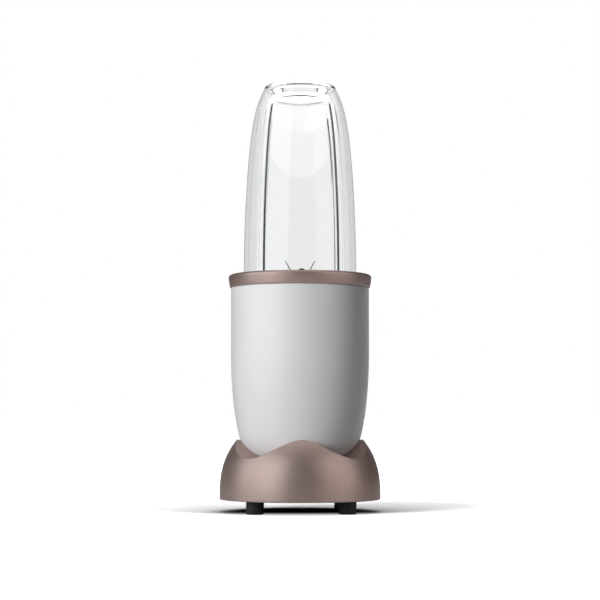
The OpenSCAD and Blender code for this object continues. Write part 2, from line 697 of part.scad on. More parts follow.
module blade_upper() {
    color("silver") difference() {
        union() {
            disc(blade_hub_r, hub_z + blade_t + 0.02, hub_z + 2 * blade_t + 0.02);
            for (a = [0, 180]) rotate(a) translate([0, 0, hub_z + blade_t + 0.02]) wing(12.5, 23, 12, 62);
            for (a = [90, 270]) rotate(a) translate([0, 0, hub_z + blade_t + 0.02]) wing(13.5, 20, 12, 38);
        }
        disc(3.02, 200, 230);
    }
}
module blade_nut() {
    color("silver") difference() {
        union() {
            translate([0, 0, hub_z + 2 * blade_t + 0.02]) cylinder(r = 6.6, h = 5, $fn = 6);
            disc(5, hub_z + 2 * blade_t + 4, hub_z + 2 * blade_t + 6.6);
        }
        disc(3.02, 200, hub_z + 9.02);
    }
}

// Dog clutch half on the blade shaft, teeth down between those of the drive coupling.
module driven_coupling() {
    color([0.82, 0.82, 0.8]) difference() {
        union() {
            disc(clutch_r, clutch_z + clutch_mesh + 0.5, 189.2);
            for (i = [0 : clutch_teeth - 1])
                sector(7, clutch_r - 0.3, clutch_z + 0.3, clutch_z + clutch_mesh + 0.7, i * 60 + 17, i * 60 + 43);
        }
        disc(shaft_r + 0.01, 170, 300);
    }
}

// ---------- output ----------

motor_housing();
top_ring();
base_skirt();
bottom_cover();
feet();
cord_gland();
cord_clamp();
cover_screws();
drive_well();
well_shaft_seal();
upper_bracket();
lower_bracket();
stator_core();
field_coils();
motor_bolts();
motor_isolators();
bearing_outer_races();
bearing_inner_races();
bearing_balls();
brush_holders();
carbon_brushes();
brush_springs();
circuit_board();
filter_capacitor();
thermal_cutout();
motor_shaft();
armature_core();
armature_windings();
commutator();
cooling_fan();
drive_coupling();
switch_bracket();
microswitches();
for (i = [1 : 3]) {
    plunger(i);
    plunger_spring(i);
    switch_lever(i);
}
cup();
blade_holder();
cup_gasket();
blade_bush();
blade_seal();
blade_shaft();
blade_upper();
blade_lower();
blade_washer();
blade_nut();
driven_coupling();
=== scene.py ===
# %% [markdown]
# # A personal countertop blender
# A clear cup stands upside down in a white motor base. A metallic ring and a metallic skirt with four crests
# frame the base, and four rubber feet carry it. The engineering model is loaded first and stays fixed. Every
# surface that shows is then modelled again with softer edges and finer curves, and takes a procedural finish.

# %% Load the engineering model
import json
import math

import bmesh
import bpy
from mathutils import Matrix, Vector


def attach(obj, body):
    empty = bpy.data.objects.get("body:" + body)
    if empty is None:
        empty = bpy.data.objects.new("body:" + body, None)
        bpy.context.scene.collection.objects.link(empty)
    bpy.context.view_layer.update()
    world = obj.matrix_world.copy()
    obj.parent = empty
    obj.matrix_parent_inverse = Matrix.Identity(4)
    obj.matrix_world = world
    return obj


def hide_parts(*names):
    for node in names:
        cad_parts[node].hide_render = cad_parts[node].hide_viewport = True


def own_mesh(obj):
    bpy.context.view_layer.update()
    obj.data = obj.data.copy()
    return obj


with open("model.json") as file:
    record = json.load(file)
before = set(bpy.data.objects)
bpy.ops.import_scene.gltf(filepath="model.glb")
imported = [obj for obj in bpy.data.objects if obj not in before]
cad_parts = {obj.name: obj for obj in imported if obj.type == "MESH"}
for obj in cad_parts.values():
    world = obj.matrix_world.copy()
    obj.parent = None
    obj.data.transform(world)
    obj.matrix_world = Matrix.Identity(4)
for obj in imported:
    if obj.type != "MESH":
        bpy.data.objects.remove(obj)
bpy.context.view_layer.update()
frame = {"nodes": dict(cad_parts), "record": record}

# %% [markdown]
# ## Camera, light and floor
# The eye is just above the worktop, so the ring is seen a little from below and the skirt from above. A
# long lens keeps the upright sides nearly parallel. Two broad panels show only in reflections and give the
# metal its light bands, with a dark gap between them. The other soft lights give the white shell its slow
# fall from light to grey.

# %% Camera
MM = 0.001
EYE_HEIGHT = 0.0895
EYE_DISTANCE = 1.593
EYE_AZIMUTH = math.radians(-1.6)
EYE_PITCH = math.radians(3.71)

camera_data = bpy.data.cameras.new("camera")
camera_data.lens = 104.6
camera_data.sensor_width = 36
camera_data.clip_end = 100
camera = bpy.data.objects.new("camera", camera_data)
bpy.context.scene.collection.objects.link(camera)
camera.location = (EYE_DISTANCE * math.sin(EYE_AZIMUTH), -EYE_DISTANCE * math.cos(EYE_AZIMUTH), EYE_HEIGHT)
camera.rotation_euler = (math.radians(90) + EYE_PITCH, 0, EYE_AZIMUTH)
bpy.context.scene.camera = camera
print("camera", [round(v, 3) for v in camera.location])

# %% Lights
def around(degrees, distance, height):
    """A place by its angle from the camera side, positive to the right."""
    turn = math.radians(degrees)
    return (distance * math.sin(turn), -distance * math.cos(turn), height)


def add_softbox(name, place, target, width, height, watts, gloss=True, matt=True, colour=(1, 1, 1)):
    """A rectangular light. It can be kept out of reflections, or used for reflections alone."""
    data = bpy.data.lights.new(name, "AREA")
    data.shape = "RECTANGLE"
    data.size = width
    data.size_y = height
    data.energy = watts
    data.color = colour
    light = bpy.data.objects.new(name, data)
    bpy.context.scene.collection.objects.link(light)
    light.location = place
    light.rotation_euler = (Vector(target) - Vector(place)).to_track_quat("-Z", "Y").to_euler()
    light.visible_glossy = gloss
    light.visible_diffuse = matt
    light.visible_transmission = False
    return light


add_softbox("key_left", around(-45, 1.8, 0.46), (0, 0, 0.16), 0.7, 1.2, 30, gloss=False)
add_softbox("fill_right", around(62, 1.7, 0.30), (0, 0, 0.10), 0.6, 0.8, 1.1, gloss=False)
add_softbox("top_soft", (0, 0.0, 1.7), (0, 0, 0), 1.5, 1.5, 9)
add_softbox("back_wash", around(150, 1.8, 0.60), (0, 0, 0.16), 0.7, 1.2, 14, gloss=False)
add_softbox("panel_back", around(180, 1.7, 0.35), (0, 0, 0.12), 1.4, 1.0, 1.0, matt=False)
add_softbox("panel_left", around(-62, 1.7, 0.75), (0, 0, 0.12), 2.6, 1.9, 25.8, matt=False,
            colour=(0.90, 1.0, 1.02))
add_softbox("panel_right", around(60, 1.7, 0.75), (0, 0, 0.12), 1.9, 1.9, 12.0, matt=False)

# %% [markdown]
# ### Node tools
# These short functions serve the world, the floor, the shared groups and the materials. A node is made
# together with its settings and with what goes into it, which is a plain value or another node's output.

# %% Node tools
def feed(tree, socket, value):
    """Links an output to the socket, or sets a plain value."""
    if hasattr(value, "links"):
        tree.links.new(value, socket)
    else:
        socket.default_value = value


def add_node(tree, kind, sockets=None, **settings):
    node = tree.nodes.new("ShaderNode" + kind)
    for key, value in settings.items():
        setattr(node, key, value)
    for label, value in (sockets or {}).items():
        feed(tree, node.inputs[label], value)
    return node


def calculate(tree, operation, a, b=0.0):
    return add_node(tree, "Math", {0: a, 1: b}, operation=operation).outputs[0]


def remap(tree, value, low, high, to_low, to_high, kind="LINEAR"):
    ends = {"Value": value, "From Min": low, "From Max": high, "To Min": to_low, "To Max": to_high}
    return add_node(tree, "MapRange", ends, interpolation_type=kind).outputs["Result"]


def mix_colours(tree, share, one, other):
    return add_node(tree, "Mix", {"Factor": share, "A": one, "B": other}, data_type="RGBA").outputs["Result"]


def place_of(tree, kind="Object"):
    return add_node(tree, "TexCoord").outputs[kind]


print("node tools ready")

# %% [markdown]
# ### World and floor
# The camera sees pure white. Rays that pass through the cup see white behind it and dark at its sides,
# which draws the outline of the clear wall. All other rays see a dim room, so the soft lights do the
# lighting.

# %% World
world = bpy.data.worlds.new("studio")
bpy.context.scene.world = world
world.use_nodes = True
tree = world.node_tree
tree.nodes.clear()
rays = add_node(tree, "LightPath").outputs
backward = add_node(tree, "VectorMath", {0: place_of(tree, "Generated"), 1: (0, 1, 0)},
                    operation="DOT_PRODUCT")
card = remap(tree, backward.outputs["Value"], 0.45, 0.97, 0.04, 0.96, "SMOOTHSTEP")
through = calculate(tree, "MULTIPLY", card, rays["Is Transmission Ray"])
white = add_node(tree, "Background", {"Color": (1, 1, 1, 1)})
dim = add_node(tree, "Background", {"Color": (0.97, 0.98, 1, 1), "Strength": 0.08})
sky = add_node(tree, "MixShader", {0: calculate(tree, "MAXIMUM", rays["Is Camera Ray"], through),
                                   1: dim.outputs[0], 2: white.outputs[0]})
add_node(tree, "OutputWorld", {"Surface": sky.outputs[0]})
print("world ready")

# %% [markdown]
# The floor is grey for the light that falls on it and white for the camera. Only the shade close under the
# base darkens it, and away from the base a weak glow brings it up to the white of the world.

# %% Floor
bpy.ops.mesh.primitive_circle_add(vertices=128, radius=30, fill_type="NGON", location=(0, 0, 0))
floor = bpy.context.object
floor.name = "floor"
floor_material = bpy.data.materials.new("white_sweep")
floor_material.use_nodes = True
tree = floor_material.node_tree
tree.nodes.clear()
rays = add_node(tree, "LightPath").outputs
straight = calculate(tree, "MAXIMUM", rays["Is Camera Ray"], rays["Is Transmission Ray"])
glint = calculate(tree, "MULTIPLY", rays["Is Glossy Ray"], 0.35)
near = add_node(tree, "AmbientOcclusion", {"Distance": 0.16}, samples=12)
shade = add_node(tree, "VectorMath",
                 {0: (1.8, 1.8, 1.8), "Scale": calculate(tree, "POWER", near.outputs["AO"], 1.6)},
                 operation="SCALE")
bright = mix_colours(tree, calculate(tree, "MAXIMUM", straight, glint), (0.32, 0.32, 0.32, 1),
                     shade.outputs[0])
matt = add_node(tree, "BsdfDiffuse", {"Color": bright})
stretch = add_node(tree, "Mapping",
                   {"Vector": place_of(tree), "Location": (0, -0.09, 0), "Scale": (0.62, 1, 1)})
length = add_node(tree, "VectorMath", {0: stretch.outputs["Vector"]}, operation="LENGTH")
away = remap(tree, length.outputs["Value"], 0.10, 0.17, 0.0, 1.0, "SMOOTHSTEP")
glow = add_node(tree, "Emission", {"Strength": calculate(tree, "MULTIPLY", away, straight)})
both = add_node(tree, "AddShader", {0: matt.outputs[0], 1: glow.outputs[0]})
add_node(tree, "OutputMaterial", {"Surface": both.outputs[0]})
floor.data.materials.append(floor_material)
bpy.context.scene.view_settings.view_transform = "Standard"
print("floor ready")

# %% [markdown]
# ## Shared surface effects
# Several finishes need the same small effects: the grain of a moulded skin, the fine rings that a lathe
# leaves, the flakes of a metallic lacquer, and the faint marks of handling. Each is one node group, built
# once and placed in every material that needs it, with that material's own values.

# %% Starting and ending a group
def new_group(name, **inputs):
    """The group, the outputs of its input node, and the place in object space."""
    group = bpy.data.node_groups.new(name, "ShaderNodeTree")
    for label, value in inputs.items():
        socket = group.interface.new_socket(label.replace("_", " "), in_out="INPUT",
                                            socket_type="NodeSocketFloat")
        socket.default_value = value
    return group, group.nodes.new("NodeGroupInput").outputs, place_of(group)


def end_group(group, **results):
    for label in results:
        group.interface.new_socket(label, in_out="OUTPUT", socket_type="NodeSocketFloat")
    last = group.nodes.new("NodeGroupOutput")
    for label, value in results.items():
        feed(group, last.inputs[label], value)
    print(group.name, len(group.nodes), "nodes")


def noise(tree, vector, scale, **sockets):
    return add_node(tree, "TexNoise", {"Vector": vector, "Scale": scale, **sockets}).outputs["Fac"]


print("group tools ready")

# %% Moulded skin: fine spark-eroded grain and slow mottling
moulded_skin, given, where = new_group("moulded_skin", Grain_per_Metre=2600.0, Mottle_per_Metre=30.0)
end_group(moulded_skin, Height=noise(moulded_skin, where, given["Grain per Metre"], Detail=3),
          Mottle=noise(moulded_skin, where, given["Mottle per Metre"], Detail=4))

# %% Handling marks: smudges, and hairline scratches that run round the piece
handling_marks, given, where = new_group("handling_marks", Smudge_per_Metre=22.0, Scratch_per_Metre=160.0)
smudge = noise(handling_marks, where, given["Smudge per Metre"], Detail=6, Roughness=0.62)
stretch = add_node(handling_marks, "Mapping",
                   {"Vector": where, "Rotation": (0.5, 0.35, 0.9), "Scale": (0.06, 1, 9)})
scratch = noise(handling_marks, stretch.outputs["Vector"], given["Scratch per Metre"], Detail=2)
end_group(handling_marks, Smudge=remap(handling_marks, smudge, 0.42, 0.68, 0.0, 1.0),
          Scratch=remap(handling_marks, scratch, 0.66, 0.72, 0.0, 1.0))

# %% Metal flake: tiny plates, each a little lighter or darker
metal_flake, given, where = new_group("metal_flake", Flakes_per_Metre=5200.0)
plates = add_node(metal_flake, "TexVoronoi", {"Vector": where, "Scale": given["Flakes per Metre"]},
                  feature="F1")
shades = add_node(metal_flake, "SeparateColor", {"Color": plates.outputs["Color"]})
end_group(metal_flake, Flake=shades.outputs["Red"], Drift=noise(metal_flake, where, 14))

# %% Turning lines: the fine rings of a lathe, by distance from the axis and height
turning_lines, given, where = new_group("turning_lines", Lines_per_Metre=3500.0)
split = add_node(turning_lines, "SeparateXYZ", {"Vector": where}).outputs
squares = [calculate(turning_lines, "MULTIPLY", split[axis], split[axis]) for axis in "XY"]
radius = calculate(turning_lines, "SQRT", calculate(turning_lines, "ADD", *squares))
section_place = add_node(turning_lines, "CombineXYZ", {"X": radius, "Y": split["Z"]}).outputs["Vector"]
rings = noise(turning_lines, section_place, given["Lines per Metre"], Detail=3)
end_group(turning_lines, Height=rings, Streak=remap(turning_lines, rings, 0.3, 0.7, -1.0, 1.0))

# %% Ground grain: straight lines of a belt, along X
belt_grain, given, where = new_group("belt_grain", Lines_per_Metre=4200.0)
stretch = add_node(belt_grain, "Mapping", {"Vector": where, "Scale": (0.03, 1.0, 0.4)})
lines = noise(belt_grain, stretch.outputs["Vector"], given["Lines per Metre"], Detail=4)
end_group(belt_grain, Height=lines, Streak=remap(belt_grain, lines, 0.3, 0.7, -1.0, 1.0))

# %% [markdown]
# ## Finishes
# Each finish starts from a principled shader with plain values. The groups above then vary its colour, its
# roughness and its height by small amounts, because a surface that is the same everywhere looks unreal.

# %% Material tools
finishes = {}


def new_material(name, colour, roughness, metallic=0.0, **sockets):
    material = bpy.data.materials.new(name)
    material.use_nodes = True
    shader = material.node_tree.nodes["Principled BSDF"]
    shader.inputs["Base Color"].default_value = (*colour, 1)
    shader.inputs["Roughness"].default_value = roughness
    shader.inputs["Metallic"].default_value = metallic
    for label, value in sockets.items():
        shader.inputs[label.replace("_", " ").title().replace("Ior", "IOR")].default_value = value
    material.diffuse_color = (*colour, 1)
    finishes[name] = material
    return material


def shader_of(material):
    return material.node_tree.nodes["Principled BSDF"]


def place_group(material, group, **values):
    node = material.node_tree.nodes.new("ShaderNodeGroup")
    node.node_tree = group
    for label, value in values.items():
        node.inputs[label.replace("_", " ")].default_value = value
    return node


def vary_colour(material, mask, other, low=0.3, high=0.7):
    """Base Color runs from its present value to another colour as the mask goes from low to high."""
    tree = material.node_tree
    socket = shader_of(material).inputs["Base Color"]
    before = socket.links[0].from_socket if socket.links else socket.default_value[:]
    feed(tree, socket, mix_colours(tree, remap(tree, mask, low, high, 0.0, 1.0), before, (*other, 1)))


def vary_roughness(material, mask, low, high, start=0.3, end=0.7):
    tree = material.node_tree
    feed(tree, shader_of(material).inputs["Roughness"], remap(tree, mask, start, end, low, high))


def raise_surface(material, height, depth_mm, strength=1.0):
    tree = material.node_tree
    normal = shader_of(material).inputs["Normal"]
    bump = add_node(tree, "Bump", {"Strength": strength, "Distance": depth_mm * MM, "Height": height})
    feed(tree, normal, bump.outputs["Normal"])


print("material tools ready")

# %% [markdown]
# ### White shell
# The housing is a glossy plastic with a satin skin. The grain is a fraction of a millimetre and very
# shallow, so it only softens the reflections. A thin clear coat keeps a faint sharp reflection on top of
# the soft one.

# %% White shell
white_shell = new_material("white_shell", (0.80, 0.80, 0.81), 0.44, coat_weight=0.08, coat_roughness=0.25)
skin = place_group(white_shell, moulded_skin, Grain_per_Metre=3200, Mottle_per_Metre=18)
marks = place_group(white_shell, handling_marks, Smudge_per_Metre=26)
vary_colour(white_shell, skin.outputs["Mottle"], (0.775, 0.778, 0.79))
vary_roughness(white_shell, marks.outputs["Smudge"], 0.42, 0.48, 0.0, 1.0)
raise_surface(white_shell, skin.outputs["Height"], 0.02, 0.35)
print(white_shell.name)

# %% [markdown]
# ### Rose metal
# The ring and the skirt are moulded and then lacquered with fine metal flakes under a satin clear coat. The
# flakes change the colour from point to point by very little, which breaks up the highlights as a real
# lacquer does.

# %% Rose metal
rose_metal = new_material("rose_metal", (0.43, 0.30, 0.27), 0.42, 0.84, coat_weight=0.15, coat_roughness=0.34)
flakes = place_group(rose_metal, metal_flake, Flakes_per_Metre=4200)
marks = place_group(rose_metal, handling_marks, Smudge_per_Metre=30, Scratch_per_Metre=140)
vary_colour(rose_metal, flakes.outputs["Flake"], (0.47, 0.36, 0.33), 0.2, 1.0)
vary_colour(rose_metal, flakes.outputs["Drift"], (0.41, 0.288, 0.258), 0.4, 0.8)
vary_roughness(rose_metal, marks.outputs["Smudge"], 0.40, 0.45, 0.0, 1.0)
raise_surface(rose_metal, flakes.outputs["Flake"], 0.006, 0.3)
print(rose_metal.name)

# %% [markdown]
# ### Clear cup
# The cup is thick clear copolyester. Light passes through it to the worktop, so rays that only ask for
# shadow are let through nearly unchanged. Without that the cup would throw a dark shadow like a solid body.

# %% Clear cup
clear_cup = new_material("clear_cup", (0.985, 0.99, 0.99), 0.0, ior=1.5, transmission_weight=1.0)
tree = clear_cup.node_tree
marks = place_group(clear_cup, handling_marks, Smudge_per_Metre=34, Scratch_per_Metre=220)
vary_roughness(clear_cup, marks.outputs["Smudge"], 0.012, 0.045, 0.0, 1.0)
shadow = add_node(tree, "LightPath").outputs["Is Shadow Ray"]
let_through = add_node(tree, "BsdfTransparent", {"Color": (0.93, 0.94, 0.94, 1)})
glass = add_node(tree, "MixShader", {0: shadow, 1: shader_of(clear_cup).outputs[0],
                                     2: let_through.outputs[0]})
feed(tree, tree.nodes["Material Output"].inputs["Surface"], glass.outputs[0])
print(clear_cup.name)

# %% [markdown]
# ### Plastics and rubbers
# These share one recipe: a base colour, a second colour for the mottling, a range of roughness, and the
# depth and fineness of the grain. Rubber has the deepest grain and the dullest surface.

# %% Plastics and rubbers
def moulded(name, colour, second, roughness, grain_depth, grain=2600, **sockets):
    material = new_material(name, colour, roughness[0], **sockets)
    skin = place_group(material, moulded_skin, Grain_per_Metre=grain, Mottle_per_Metre=40)
    marks = place_group(material, handling_marks, Smudge_per_Metre=40, Scratch_per_Metre=180)
    vary_colour(material, skin.outputs["Mottle"], second)
    vary_colour(material, marks.outputs["Scratch"], [min(1, 1.25 * c + 0.01) for c in colour], 0.0, 1.6)
    vary_roughness(material, marks.outputs["Smudge"], *roughness, 0.0, 1.0)
    raise_surface(material, skin.outputs["Height"], grain_depth, 0.6)


moulded("black_plastic", (0.022, 0.022, 0.024), (0.030, 0.030, 0.032), (0.42, 0.55), 0.05)
moulded("soft_rubber", (0.012, 0.012, 0.012), (0.020, 0.020, 0.020), (0.62, 0.78), 0.06, 1900)
moulded("seal_rubber", (0.24, 0.030, 0.022), (0.30, 0.045, 0.030), (0.48, 0.60), 0.03)
moulded("gasket", (0.56, 0.56, 0.54), (0.61, 0.61, 0.59), (0.40, 0.52), 0.02, subsurface_weight=0.1)
moulded("ivory_plastic", (0.72, 0.68, 0.56), (0.77, 0.74, 0.63), (0.38, 0.50), 0.03)
moulded("switch_case", (0.020, 0.020, 0.022), (0.030, 0.030, 0.031), (0.36, 0.46), 0.03, 3400)
moulded("brush_box", (0.115, 0.060, 0.030), (0.16, 0.085, 0.042), (0.34, 0.48), 0.03)
moulded("capacitor", (0.62, 0.28, 0.030), (0.68, 0.34, 0.045), (0.22, 0.34), 0.02)
moulded("carbon", (0.018, 0.018, 0.019), (0.050, 0.050, 0.052), (0.46, 0.62), 0.05, 3000)
print(len(finishes), "finishes")

# %% [markdown]
# ### Metals
# Turned parts carry fine rings, ground blades carry straight lines, and cast brackets a coarse skin. The
# same two colours are mixed by the streaks, and the roughness follows them.

# %% Turned and ground metals
def worked_metal(name, colour, second, roughness, group, per_metre, depth, anisotropic=0.0):
    material = new_material(name, colour, roughness[0], 1.0, anisotropic=anisotropic)
    lines = place_group(material, group, Lines_per_Metre=per_metre)
    marks = place_group(material, handling_marks, Smudge_per_Metre=45, Scratch_per_Metre=200)
    vary_colour(material, lines.outputs["Streak"], second, -1.0, 1.0)
    vary_colour(material, marks.outputs["Smudge"], [0.94 * c for c in colour], 0.0, 1.4)
    vary_roughness(material, lines.outputs["Streak"], *roughness, -1.0, 1.0)
    raise_surface(material, lines.outputs["Height"], depth, 0.5)


worked_metal("steel", (0.56, 0.56, 0.57), (0.66, 0.66, 0.67), (0.22, 0.34), turning_lines, 3500, 0.01)
worked_metal("blade_steel", (0.60, 0.60, 0.61), (0.72, 0.72, 0.73), (0.16, 0.30), belt_grain, 3600, 0.012)
worked_metal("bearing_steel", (0.70, 0.70, 0.72), (0.76, 0.76, 0.77), (0.07, 0.13), turning_lines, 5000,
             0.004)
worked_metal("laminations", (0.20, 0.21, 0.23), (0.34, 0.35, 0.37), (0.34, 0.52), turning_lines, 2000, 0.05)
worked_metal("copper", (0.62, 0.24, 0.10), (0.75, 0.36, 0.18), (0.20, 0.34), turning_lines, 1500, 0.06)
worked_metal("bronze", (0.50, 0.31, 0.12), (0.58, 0.38, 0.17), (0.34, 0.46), turning_lines, 2600, 0.02)
print(len(finishes), "finishes")

# %% Cast brackets and the circuit board
cast_alloy = new_material("cast_alloy", (0.50, 0.50, 0.51), 0.42, 1.0)
skin = place_group(cast_alloy, moulded_skin, Grain_per_Metre=1300, Mottle_per_Metre=70)
vary_colour(cast_alloy, skin.outputs["Mottle"], (0.58, 0.58, 0.59))
vary_roughness(cast_alloy, skin.outputs["Mottle"], 0.36, 0.52)
raise_surface(cast_alloy, skin.outputs["Height"], 0.10, 0.6)

board = new_material("board", (0.012, 0.085, 0.035), 0.32)
skin = place_group(board, moulded_skin, Grain_per_Metre=1800, Mottle_per_Metre=260)
tree = board.node_tree
laid_flat = add_node(tree, "Mapping", {"Vector": place_of(tree), "Rotation": (math.radians(90), 0, 0)})
tracks = add_node(tree, "TexBrick",
                  {"Vector": laid_flat.outputs["Vector"], "Scale": 130, "Mortar Size": 0.035},
                  offset=0.37, squash=0.8)
vary_colour(board, tracks.outputs["Fac"], (0.10, 0.20, 0.06), 0.0, 1.0)
vary_roughness(board, skin.outputs["Mottle"], 0.28, 0.40)
raise_surface(board, tracks.outputs["Fac"], 0.06, 0.6)
print(len(finishes), "finishes:", sorted(finishes))

# %% [markdown]
# ## Ways of making a round piece
# Most pieces here are turned, so one way serves them all. Half of the section is drawn as a chain of
# points, by extruding one vertex from place to place. Spin then carries the chain once round the axis. The
# first and last rings are welded and the faces are turned outwards. On some pieces a small bevel then takes
# the sharpness off the corners.

# %% Selection tools
def let_go():
    if bpy.context.mode != "OBJECT":
        bpy.ops.object.mode_set(mode="OBJECT")
    bpy.ops.object.select_all(action="DESELECT")


def take(*pieces):
    let_go()
    for piece in pieces:
        piece.select_set(True)
    bpy.context.view_layer.objects.active = pieces[0]


def edit(piece, mode="VERT"):
    take(piece)
    bpy.ops.object.mode_set(mode="EDIT")
    bpy.ops.mesh.select_mode(type=mode)
    bpy.ops.mesh.select_all(action="DESELECT")


def face_outwards():
    """Turns the faces of the piece in edit mode outwards, and ends edit mode."""
    bpy.ops.mesh.select_all(action="SELECT")
    bpy.ops.mesh.normals_make_consistent(inside=False)
    bpy.ops.object.mode_set(mode="OBJECT")


def settle(piece, name):
    """Names the piece and writes its place, turn and scale into its points."""
    piece.name = name
    bpy.ops.object.transform_apply(location=True, rotation=True, scale=True)
    return piece


def pick(piece, test, kind="verts"):
    """Selects the vertices, edges or faces of the piece in edit mode whose middle passes the test."""
    net = bmesh.from_edit_mesh(piece.data)
    found = 0
    for part in getattr(net, kind):
        if kind == "verts":
            middle = part.co
        elif kind == "edges":
            middle = (part.verts[0].co + part.verts[1].co) / 2
        else:
            middle = part.calc_center_median()
        if test(middle / MM, part):
            part.select_set(True)
            found += 1
    net.select_flush_mode()
    bmesh.update_edit_mesh(piece.data)
    return found


def apply_modifier(piece, kind, **values):
    take(piece)
    modifier = piece.modifiers.new(kind.lower(), kind)
    for key, value in values.items():
        setattr(modifier, key, value)
    bpy.ops.object.modifier_apply(modifier=modifier.name)


def soften(piece, width_mm=0.4, segments=2, angle=35):
    apply_modifier(piece, "BEVEL", width=width_mm * MM, segments=segments, limit_method="ANGLE",
                   angle_limit=math.radians(angle), miter_outer="MITER_ARC")


print("selection tools ready")

# %% Turning a section
def arc(centre, radius, start, end, steps=6):
    turn = [math.radians(start + (end - start) * i / steps) for i in range(steps + 1)]
    return [(centre[0] + radius * math.cos(a), centre[1] + radius * math.sin(a)) for a in turn]


def turned(name, section, steps=96, closed=True):
    """A solid of revolution about Z from points (radius, height) in millimetres."""
    let_go()
    bpy.ops.mesh.primitive_plane_add(size=MM, location=(0, 0, 0))
    piece = bpy.context.object
    piece.name = name
    bpy.ops.object.mode_set(mode="EDIT")
    bpy.ops.mesh.select_mode(type="VERT")
    bpy.ops.mesh.select_all(action="SELECT")
    bpy.ops.mesh.merge(type="CENTER")
    path = [Vector((r * MM, 0, z * MM)) for r, z in section]
    if closed:
        path.append(path[0])
    bpy.ops.transform.translate(value=path[0])
    for here, there in zip(path, path[1:]):
        bpy.ops.mesh.extrude_region_move(TRANSFORM_OT_translate={"value": there - here})
    bpy.ops.mesh.select_all(action="SELECT")
    bpy.ops.mesh.spin(steps=steps, angle=2 * math.pi, center=(0, 0, 0), axis=(0, 0, 1))
    weld(piece)
    return piece


def weld(piece, distance=1e-6):
    if bpy.context.mode != "EDIT_MESH":
        edit(piece)
    bpy.ops.mesh.select_all(action="SELECT")
    bpy.ops.mesh.remove_doubles(threshold=distance)
    face_outwards()


def join(first, *others):
    take(first, *others)
    bpy.ops.object.join()
    return first


def copy_turned(piece, degrees, name):
    """A copy with its own mesh, turned about Z, its place in its vertices."""
    twin = piece.copy()
    twin.data = piece.data.copy()
    twin.name = name
    bpy.context.scene.collection.objects.link(twin)
    twin.data.transform(Matrix.Rotation(math.radians(degrees), 4, "Z"))
    return twin


def set_round(piece, angles):
    """Copies at the given angles about Z, in place of the piece itself."""
    copies = [copy_turned(piece, a, f"{piece.name}_{a}") for a in angles]
    bpy.data.objects.remove(piece)
    return copies


def press_in(point, depth):
    """Moves a point of a mesh towards the Z axis by a depth in millimetres."""
    reach = math.hypot(*(point.co / MM).xy)
    point.co.x *= (reach - depth) / reach
    point.co.y *= (reach - depth) / reach


remade = set()


def hand_over(piece, body, slot, *nodes, smooth=32):
    """Smooth shading, finish, body and the engineering nodes that the piece stands for."""
    take(piece)
    bpy.ops.object.transform_apply(location=True, rotation=True, scale=True)
    bpy.ops.object.shade_smooth_by_angle(angle=math.radians(smooth))
    piece.data.materials.clear()
    piece.data.materials.append(finishes[slot])
    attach(piece, body)
    if nodes:
        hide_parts(*nodes)
        remade.update(nodes)
    low, high = [Vector(c) for c in (piece.bound_box[0], piece.bound_box[6])]
    print(f"{piece.name}: {len(piece.data.polygons)} faces, z {low.z / MM:.1f} to {high.z / MM:.1f} mm")
    return piece


print("turning tools ready")

# %% [markdown]
# ## Solids and cuts
# Slots and holes are cut with simple solids: an upright rod, a box, a block that follows the circle, and a
# straight slot with round ends. They are made in place, used for one exact boolean, and removed.

# %% Simple solids
SCREW_REACH, FOOT_REACH = 44, 58
CORNERS = (45, 135, 225, 315)
LUG_ANGLES = (30, 150, 270)
PLUNGER_ANGLES, PLUNGER_REACH = (21, 141, 261), 56.4


def at_angle(degrees, reach):
    return reach * math.cos(math.radians(degrees)), reach * math.sin(math.radians(degrees))


def rod(name, radius, low, high, place=(0, 0), steps=48):
    let_go()
    bpy.ops.mesh.primitive_cylinder_add(vertices=steps, radius=radius * MM, depth=(high - low) * MM,
                                        location=(place[0] * MM, place[1] * MM, (low + high) / 2 * MM))
    return settle(bpy.context.object, name)


def box(name, centre, size):
    let_go()
    bpy.ops.mesh.primitive_cube_add(size=1, location=[v * MM for v in centre], scale=[v * MM for v in size])
    return settle(bpy.context.object, name)


def ring_block(name, inner, outer, low, high, start, end):
    """A block between two radii and two heights, from one angle to another in degrees."""
    let_go()
    bpy.ops.mesh.primitive_plane_add(size=1, location=((inner + outer) / 2 * MM, 0, (low + high) / 2 * MM),
                                     rotation=(math.radians(90), 0, 0))
    bpy.context.object.scale = ((outer - inner) * MM, (high - low) * MM, 1)
    block = settle(bpy.context.object, name)
    block.data.transform(Matrix.Rotation(math.radians(start), 4, "Z"))
    edit(block, "FACE")
    bpy.ops.mesh.select_all(action="SELECT")
    bpy.ops.mesh.spin(steps=max(2, round(abs(end - start) / 2)), angle=math.radians(start - end),
                      center=(0, 0, 0), axis=(0, 0, 1))
    weld(block)
    return block


def round_slot(name, start, end, width, low, high):
    """A slot along X with half-round ends."""
    slot = box(name, ((start + end) / 2, 0, (low + high) / 2), (end - start, width, high - low))
    edit(slot, "EDGE")
    pick(slot, lambda m, e: abs(e.verts[0].co.z - e.verts[1].co.z) > 1 * MM, "edges")
    bpy.ops.mesh.bevel(offset=width * 0.49 * MM, segments=5, affect="EDGES")
    bpy.ops.object.mode_set(mode="OBJECT")
    return slot


print("solids ready")

# %% Cutting and adding
def combine(piece, operation, solids):
    """One exact boolean of the piece with the solids, which are then gone."""
    tool = join(*solids) if len(solids) > 1 else solids[0]
    apply_modifier(piece, "BOOLEAN", operation=operation, solver="EXACT", object=tool)
    bpy.data.objects.remove(tool)


def cut(piece, *cutters):
    combine(piece, "DIFFERENCE", cutters)


def add_on(piece, *extras):
    combine(piece, "UNION", extras)


print("cutting ready")

# %% [markdown]
# ## The white housing
# The side is upright to about two fifths of its height. Below, it closes slowly and then fast, like the
# bottom of an egg. That curve is a sum of two powers of the depth below the straight part. The wall inside
# follows it.

# %% White housing
WALL = 2.6


